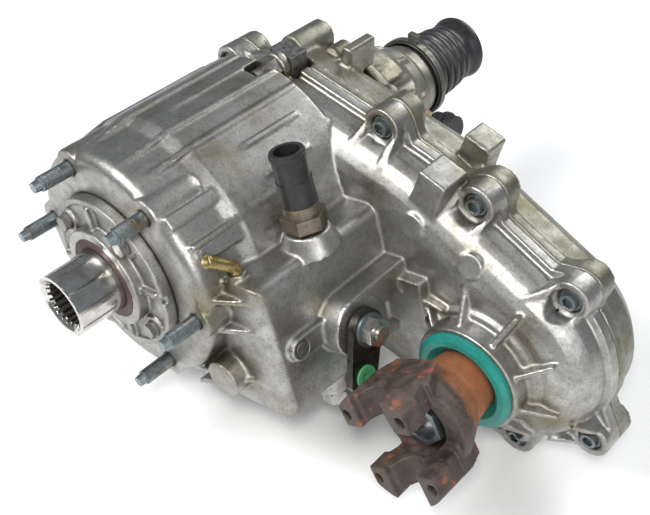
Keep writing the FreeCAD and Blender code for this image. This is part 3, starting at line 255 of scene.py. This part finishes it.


# the crevice amount darkens crevices as painted shade; the dark colour serves both the specks and that painted shade
CAST = dict(grain=1100.0, bump=0.4, crevice_shade=0.75, round_mm=0.0, spots=0.7, grime_and_shade_color=(0.07, 0.06, 0.045))
MATERIALS = {
    "cast_aluminium": metal("cast_aluminium", (0.42, 0.415, 0.40), (0.31, 0.305, 0.285), (0.23, 0.21, 0.145),
                            rough=(0.32, 0.50), stain_at=(0.50, 0.72), **CAST),
    "cast_aluminium_rear": metal("cast_aluminium_rear", (0.33, 0.325, 0.28), (0.25, 0.245, 0.20), (0.17, 0.16, 0.11),
                                 rough=(0.38, 0.54), seed=3.0, stain_at=(0.46, 0.66), **CAST),
    "polished_steel": metal("polished_steel", (0.66, 0.65, 0.62), (0.50, 0.48, 0.44), (0.30, 0.25, 0.19),
                            rough=(0.08, 0.20), grain=500.0, bump=0.04, crevice_shade=0.5, patch=30.0, seed=5.0),
    "gear_steel": metal("gear_steel", (0.55, 0.54, 0.52), (0.44, 0.43, 0.41), (0.33, 0.29, 0.24),
                        rough=(0.22, 0.38), grain=900.0, bump=0.1, seed=7.0),
    "bearing_steel": metal("bearing_steel", (0.72, 0.72, 0.72), (0.62, 0.62, 0.62), (0.5, 0.48, 0.45),
                           rough=(0.12, 0.25), grain=900.0, bump=0.05, seed=8.0),
    "zinc_steel": metal("zinc_steel", (0.30, 0.34, 0.34), (0.20, 0.25, 0.28), (0.20, 0.17, 0.11),
                        rough=(0.28, 0.45), grain=1200.0, bump=0.15, patch=60.0, seed=9.0, spots=0.4),
    "dark_steel": metal("dark_steel", (0.24, 0.235, 0.225), (0.33, 0.325, 0.31), (0.20, 0.17, 0.13),
                        rough=(0.30, 0.50), grain=900.0, bump=0.35, patch=60.0, seed=11.0),
    "bright_nut": metal("bright_nut", (0.66, 0.66, 0.62), (0.54, 0.54, 0.50), (0.36, 0.33, 0.27),
                        rough=(0.15, 0.28), grain=900.0, bump=0.06, patch=60.0, seed=12.0),
    "stamped_steel": metal("stamped_steel", (0.075, 0.070, 0.065), (0.12, 0.11, 0.10), (0.19, 0.16, 0.13),
                           rough=(0.28, 0.45), grain=900.0, bump=0.2, patch=50.0, seed=13.0, stain_at=(0.6, 0.75)),
    "rusty_iron": rusty("rusty_iron"),
    "chain_steel": metal("chain_steel", (0.40, 0.38, 0.35), (0.30, 0.28, 0.26), (0.22, 0.19, 0.15),
                         rough=(0.25, 0.4), bump=0.1, seed=15.0),
    "brass": metal("brass", (0.46, 0.36, 0.15), (0.36, 0.28, 0.12), (0.22, 0.17, 0.09), rough=(0.22, 0.38),
                   grain=900.0, bump=0.1, patch=90.0, seed=16.0),
    "brown_steel": metal("brown_steel", (0.25, 0.20, 0.155), (0.18, 0.15, 0.12), (0.09, 0.08, 0.07),
                         rough=(0.35, 0.55), grain=900.0, bump=0.25, patch=70.0, seed=17.0),
    "magnet": metal("magnet", (0.16, 0.16, 0.17), (0.10, 0.10, 0.11), (0.07, 0.07, 0.07), rough=(0.5, 0.7),
                    metallic=0.4, seed=18.0),
    "black_rubber": rubber("black_rubber", (0.012, 0.012, 0.013), (0.024, 0.024, 0.026), rough=(0.30, 0.48),
                           dust_amount=0.12),
    "teal_seal": rubber("teal_seal", (0.006, 0.14, 0.12), (0.015, 0.24, 0.205), rough=(0.3, 0.45), bump=0.1,
                        dust=(0.05, 0.12, 0.1), seed=1.0),
    "red_seal": rubber("red_seal", (0.075, 0.03, 0.022), (0.04, 0.02, 0.017), seed=2.0),
    "black_plastic": rubber("black_plastic", (0.009, 0.009, 0.010), (0.018, 0.018, 0.019),
                            rough=(0.28, 0.45), dust_amount=0.1,
                            bump=0.12, seed=3.0),
    "brown_plastic": rubber("brown_plastic", (0.30, 0.19, 0.10), (0.38, 0.27, 0.16), rough=(0.4, 0.6), seed=4.0),
    "green_plastic": rubber("green_plastic", (0.07, 0.33, 0.13), (0.12, 0.40, 0.18), rough=(0.35, 0.5), seed=5.0),
}

for part in frame["record"]["subparts"]:
    node = NODES[part["node"]]
    node.data.materials.clear()
    node.data.materials.append(MATERIALS[part["material_slot"]])
NODES["boot_clamp"].data.materials[0] = metal("band_steel", (0.20, 0.195, 0.17), (0.13, 0.125, 0.11),
                                              (0.10, 0.085, 0.06), rough=(0.4, 0.6), grain=900.0, bump=0.25,
                                              patch=60.0, seed=21.0)


# ---------------------------------------------------------------- cast parts

def ring_mean(edges, values):
    count = len(values)
    degree = np.maximum(np.bincount(edges.ravel(), minlength=count), 1)
    out = np.empty_like(values)
    for k in range(values.shape[1]):
        out[:, k] = (np.bincount(edges[:, 0], values[edges[:, 1], k], count)
                     + np.bincount(edges[:, 1], values[edges[:, 0], k], count))
    return out / degree[:, None]


def mesh_arrays(mesh):
    co = np.empty(len(mesh.vertices) * 3)
    normal = np.empty(len(mesh.vertices) * 3)
    edges = np.empty(len(mesh.edges) * 2, dtype=np.int64)
    mesh.vertices.foreach_get("co", co)
    mesh.vertices.foreach_get("normal", normal)
    mesh.edges.foreach_get("vertices", edges)
    return co.reshape(-1, 3), normal.reshape(-1, 3), edges.reshape(-1, 2)


def fill_corners(mesh, voxel, rings, rounds):
    # rounds out the inside corners, as a casting's fillets do, and leaves the rest alone
    co, normal, edges = mesh_arrays(mesh)
    bend = ((ring_mean(edges, co) - co) * normal).sum(1, keepdims=True) / voxel
    bend = ring_mean(edges, bend)
    weight = np.clip((bend - FILLET_START) / FILLET_SPAN, 0.0, 1.0)
    for _ in range(rings):
        weight = np.clip(np.maximum(weight, ring_mean(edges, weight) * 1.7), 0.0, 1.0)
    for _ in range(3):
        weight = ring_mean(edges, weight)
    for _ in range(rounds):
        co = co + 0.5 * weight * (ring_mean(edges, co) - co)
    mesh.vertices.foreach_set("co", co.ravel())
    mesh.update()


def uneven(mesh, height_mm, seed):
    # slow hand-scale waviness of a sand-cast wall
    co, normal, _ = mesh_arrays(mesh)
    rng = np.random.default_rng(seed)
    total = np.zeros(len(co))
    for _ in range(WAVE_COUNT):
        way = rng.normal(size=3)
        way *= 2 * math.pi / (rng.uniform(*WAVE_MM) * MM * np.linalg.norm(way))
        total += np.sin(co @ way + rng.uniform(0, 6.28))
    co = co + normal * (total / WAVE_COUNT ** 0.5 * height_mm * MM)[:, None]
    mesh.vertices.foreach_set("co", co.ravel())
    mesh.update()


def cast_copy(node, voxel_mm, smooth, faces, slot_name, extra=None, body="case", rings=1, rounds=10, wave=0.05):
    src = NODES[node]
    mesh = src.data.copy()
    obj = bpy.data.objects.new(node + "_cast", mesh)
    bpy.context.scene.collection.objects.link(obj)
    if extra:
        bm = bmesh.new()
        bm.from_mesh(mesh)
        extra(bm)
        bm.to_mesh(mesh)
        bm.free()
    bpy.context.view_layer.objects.active = obj
    for o in bpy.context.selected_objects:
        o.select_set(False)
    obj.select_set(True)
    rem = obj.modifiers.new("remesh", "REMESH")
    rem.mode = "VOXEL"
    rem.voxel_size = voxel_mm * MM
    rem.use_smooth_shade = True
    bpy.ops.object.modifier_apply(modifier=rem.name)
    sm = obj.modifiers.new("smooth", "SMOOTH")
    sm.factor = 0.5
    sm.iterations = smooth
    bpy.ops.object.modifier_apply(modifier=sm.name)
    if rounds:
        fill_corners(obj.data, voxel_mm * MM, rings, rounds)
    if wave:
        uneven(obj.data, wave, len(node))
    count = len(obj.data.polygons) * 2
    if count > faces:
        dec = obj.modifiers.new("decimate", "DECIMATE")
        dec.ratio = faces / count
        bpy.ops.object.modifier_apply(modifier=dec.name)
    obj.data.materials.clear()
    for poly in obj.data.polygons:
        poly.use_smooth = True
    stands_for(obj, node, slot_name, body)


def finished(name, bm):
    # smooth-shaded object from a closed bmesh
    bmesh.ops.recalc_face_normals(bm, faces=bm.faces)
    mesh = bpy.data.meshes.new(name)
    bm.to_mesh(mesh)
    bm.free()
    for poly in mesh.polygons:
        poly.use_smooth = True
    obj = bpy.data.objects.new(name, mesh)
    bpy.context.scene.collection.objects.link(obj)
    return obj


def stands_for(obj, node, slot_name, body="case"):
    obj.data.materials.append(MATERIALS[slot_name])
    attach(obj, body)
    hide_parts(node)


def turned(name, profile, steps=96):
    # closed profile of (radius, y) in millimetres swept about the main shaft axis
    bm = bmesh.new()
    rows = []
    for k in range(steps):
        a = 2 * math.pi * k / steps
        rows.append([bm.verts.new((r * math.cos(a) * MM, y * MM, r * math.sin(a) * MM)) for r, y in profile])
    for k in range(steps):
        near, far = rows[k], rows[(k + 1) % steps]
        for i in range(len(profile)):
            j = (i + 1) % len(profile)
            bm.faces.new((near[i], near[j], far[j], far[i]))
    return finished(name, bm)


def boot():
    # cuff over the housing, five rounded folds, a short neck and the open bell
    outer = [(30.6, 282.6), (31.0, 284), (31.0, 289), (29.5, 291), (26.4, 292.2)]
    for k in range(5):
        crest = (26.9, 26.9, 26.5, 25.7, 24.2)[k]
        y0 = 293.0 + 8.2 * k
        for i in range(11):
            t = i / 10.0
            outer.append((crest - 2.6 * abs(2 * t - 1) ** 3.2 - 0.5 * t, y0 + 7.7 * t))
    outer += [(21.6, 334.6), (21.8, 336), (23.2, 338.5), (24.8, 341.5), (25.4, 344.4), (25.2, 345.6),
              (24.2, 346.0)]
    inner = [(23.0, 345.2), (22.2, 342), (20.4, 338), (19.6, 335)]
    for r, y in reversed(outer[5:-7]):
        inner.append((r - 2.2, y))
    inner += [(27.6, 290), (29.2, 288), (29.2, 282.8)]
    stands_for(turned("boot_folds", outer + inner, 128), "rubber_boot", "black_rubber")


def hull_place(s, h, y):
    # s runs from the main shaft towards the front output, h square to it
    c, d = math.cos(DROP), math.sin(DROP)
    return Vector((s * c - h * d, y, s * d + h * c)) * MM


def box_place(u, v, y):
    c, d = math.cos(BOX_TURN), math.sin(BOX_TURN)
    return Vector((u * c - v * d, y, u * d + v * c)) * MM


def add_disc(bm, at, way, radius_mm, thick_mm):
    turn = Vector((0, 0, 1)).rotation_difference(way).to_matrix().to_4x4()
    bmesh.ops.create_cone(bm, cap_ends=True, segments=40, radius1=radius_mm * MM, radius2=(radius_mm - 0.6) * MM,
                          depth=thick_mm * MM, matrix=Matrix.Translation(at) @ turn)


def front_extra(bm):
    # ejector-pin discs on the shoulder and the face of the chain housing
    for s, h, y, lean, r in PIN_DISCS:
        c, d = math.cos(DROP), math.sin(DROP)
        out = Vector((-d, 0, c))
        way = (Vector((0, -1, 0)) * math.cos(lean) + out * math.sin(lean)).normalized()
        add_disc(bm, hull_place(s, h, y), way, r, 3.0)


def elbow():
    # brass vent: a stub out of its seat, bent over into an open barb
    tip = box_place(85, 24, 9)
    knee = box_place(87, 13, 22.5)
    outside = [box_place(87, 4, 25), box_place(87, 7, 25), box_place(87, 10.5, 24.4), knee, knee.lerp(tip, 0.25),
               knee.lerp(tip, 0.55), knee.lerp(tip, 0.80), knee.lerp(tip, 0.90), tip]
    last = len(outside) - 1
    # the last two rings run back down inside the barb
    path = outside + [tip, knee.lerp(tip, 0.55)]
    sizes = [5.0, 3.9, 3.9, 4.0, 3.9, 3.9, 3.9, 4.3, 4.2, 2.7, 2.6]
    bm = bmesh.new()
    rows = []
    for i, (point, r) in enumerate(zip(path, sizes)):
        ahead = path[min(i + 1, last)] - path[max(min(i, last) - 1, 0)]
        side = ahead.cross(Vector((1, 0, 0))).normalized()
        other = ahead.cross(side).normalized()
        rows.append([bm.verts.new(point + (side * math.cos(t) + other * math.sin(t)) * r * MM)
                     for t in [2 * math.pi * k / ELBOW_SIDES for k in range(ELBOW_SIDES)]])
    for near, far in zip(rows, rows[1:]):
        for k in range(ELBOW_SIDES):
            j = (k + 1) % ELBOW_SIDES
            bm.faces.new((near[k], near[j], far[j], far[k]))
    bm.faces.new(rows[0])
    bm.faces.new(rows[-1])
    stands_for(finished("vent_elbow", bm), "vent_fitting", "brass")


cast_copy("front_case", 1.1, 3, 195000, "cast_aluminium", extra=front_extra)
cast_copy("rear_case", 1.5, 3, 150000, "cast_aluminium_rear")
cast_copy("input_retainer", 0.7, 3, 90000, "cast_aluminium", rounds=5)
cast_copy("rear_extension", 1.2, 3, 90000, "cast_aluminium_rear")
cast_copy("front_yoke", 0.8, 4, 90000, "rusty_iron", body="front_output", rings=2, rounds=8, wave=0.1)
boot()
elbow()


# ---------------------------------------------------------------- floor, light, camera

def staged_floor():
    lo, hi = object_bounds()
    bm = bmesh.new()
    half = 3.0
    z = lo.z - 0.001
    for x, y in ((-half, -half), (half, -half), (half, half), (-half, half)):
        bm.verts.new((x, y, z))
    bm.faces.new(bm.verts)
    mesh = bpy.data.meshes.new("floor")
    bm.to_mesh(mesh)
    bm.free()
    floor = bpy.data.objects.new("floor", mesh)
    bpy.context.scene.collection.objects.link(floor)
    mat, tree, bsdf = new_material("floor")
    vec = coords(tree)
    tree.links.new(mix(tree, mask(tree, noise(tree, vec, 3.0), 0.3, 0.7), (0.86, 0.86, 0.86), (0.88, 0.88, 0.88)),
                   bsdf.inputs["Base Color"])
    bsdf.inputs["Roughness"].default_value = 0.8
    mesh.materials.append(mat)


def area_light(name, place, aim, size, power, color=(1, 1, 1)):
    data = bpy.data.lights.new(name, "AREA")
    data.shape = "RECTANGLE"
    data.size = size[0]
    data.size_y = size[1]
    data.energy = power
    data.color = color
    obj = bpy.data.objects.new(name, data)
    obj.location = place
    obj.rotation_euler = (Vector(aim) - Vector(place)).to_track_quat("-Z", "Y").to_euler()
    bpy.context.scene.collection.objects.link(obj)
    return obj


def studio():
    world = bpy.data.worlds.new("studio")
    bpy.context.scene.world = world
    world.use_nodes = True
    world.node_tree.nodes["Background"].inputs[0].default_value = (0.80, 0.86, 0.95, 1.0)
    world.node_tree.nodes["Background"].inputs[1].default_value = 0.30
    mid = (0.08, 0.14, -0.02)
    area_light("key", (-0.45, -0.70, 1.15), mid, (0.7, 0.5), 22.0)
    area_light("flash", (0.42, -0.30, 0.62), mid, (0.10, 0.10), 3.2, (1.0, 0.98, 0.94))
    area_light("fill", (1.3, -0.3, 0.6), mid, (0.6, 0.6), 7.0)
    area_light("back", (0.1, 1.3, 0.9), mid, (1.2, 0.5), 12.0)
    bpy.context.scene.view_settings.view_transform = "Standard"


def camera():
    data = bpy.data.cameras.new("camera")
    data.sensor_width = 36.0
    data.lens = 55.08
    data.clip_start = 0.01
    cam = bpy.data.objects.new("camera", data)
    right = Vector((0.73254, 0.68072, -0.00264))
    up = Vector((-0.47201, 0.51073, 0.71858))
    back = Vector((0.49050, -0.52514, 0.69544))
    rot = Matrix((right, up, back)).transposed().to_4x4()
    cam.matrix_world = Matrix.Translation((0.39733, -0.23803, 0.43845)) @ rot
    bpy.context.scene.collection.objects.link(cam)
    bpy.context.scene.camera = cam


staged_floor()
studio()
camera()
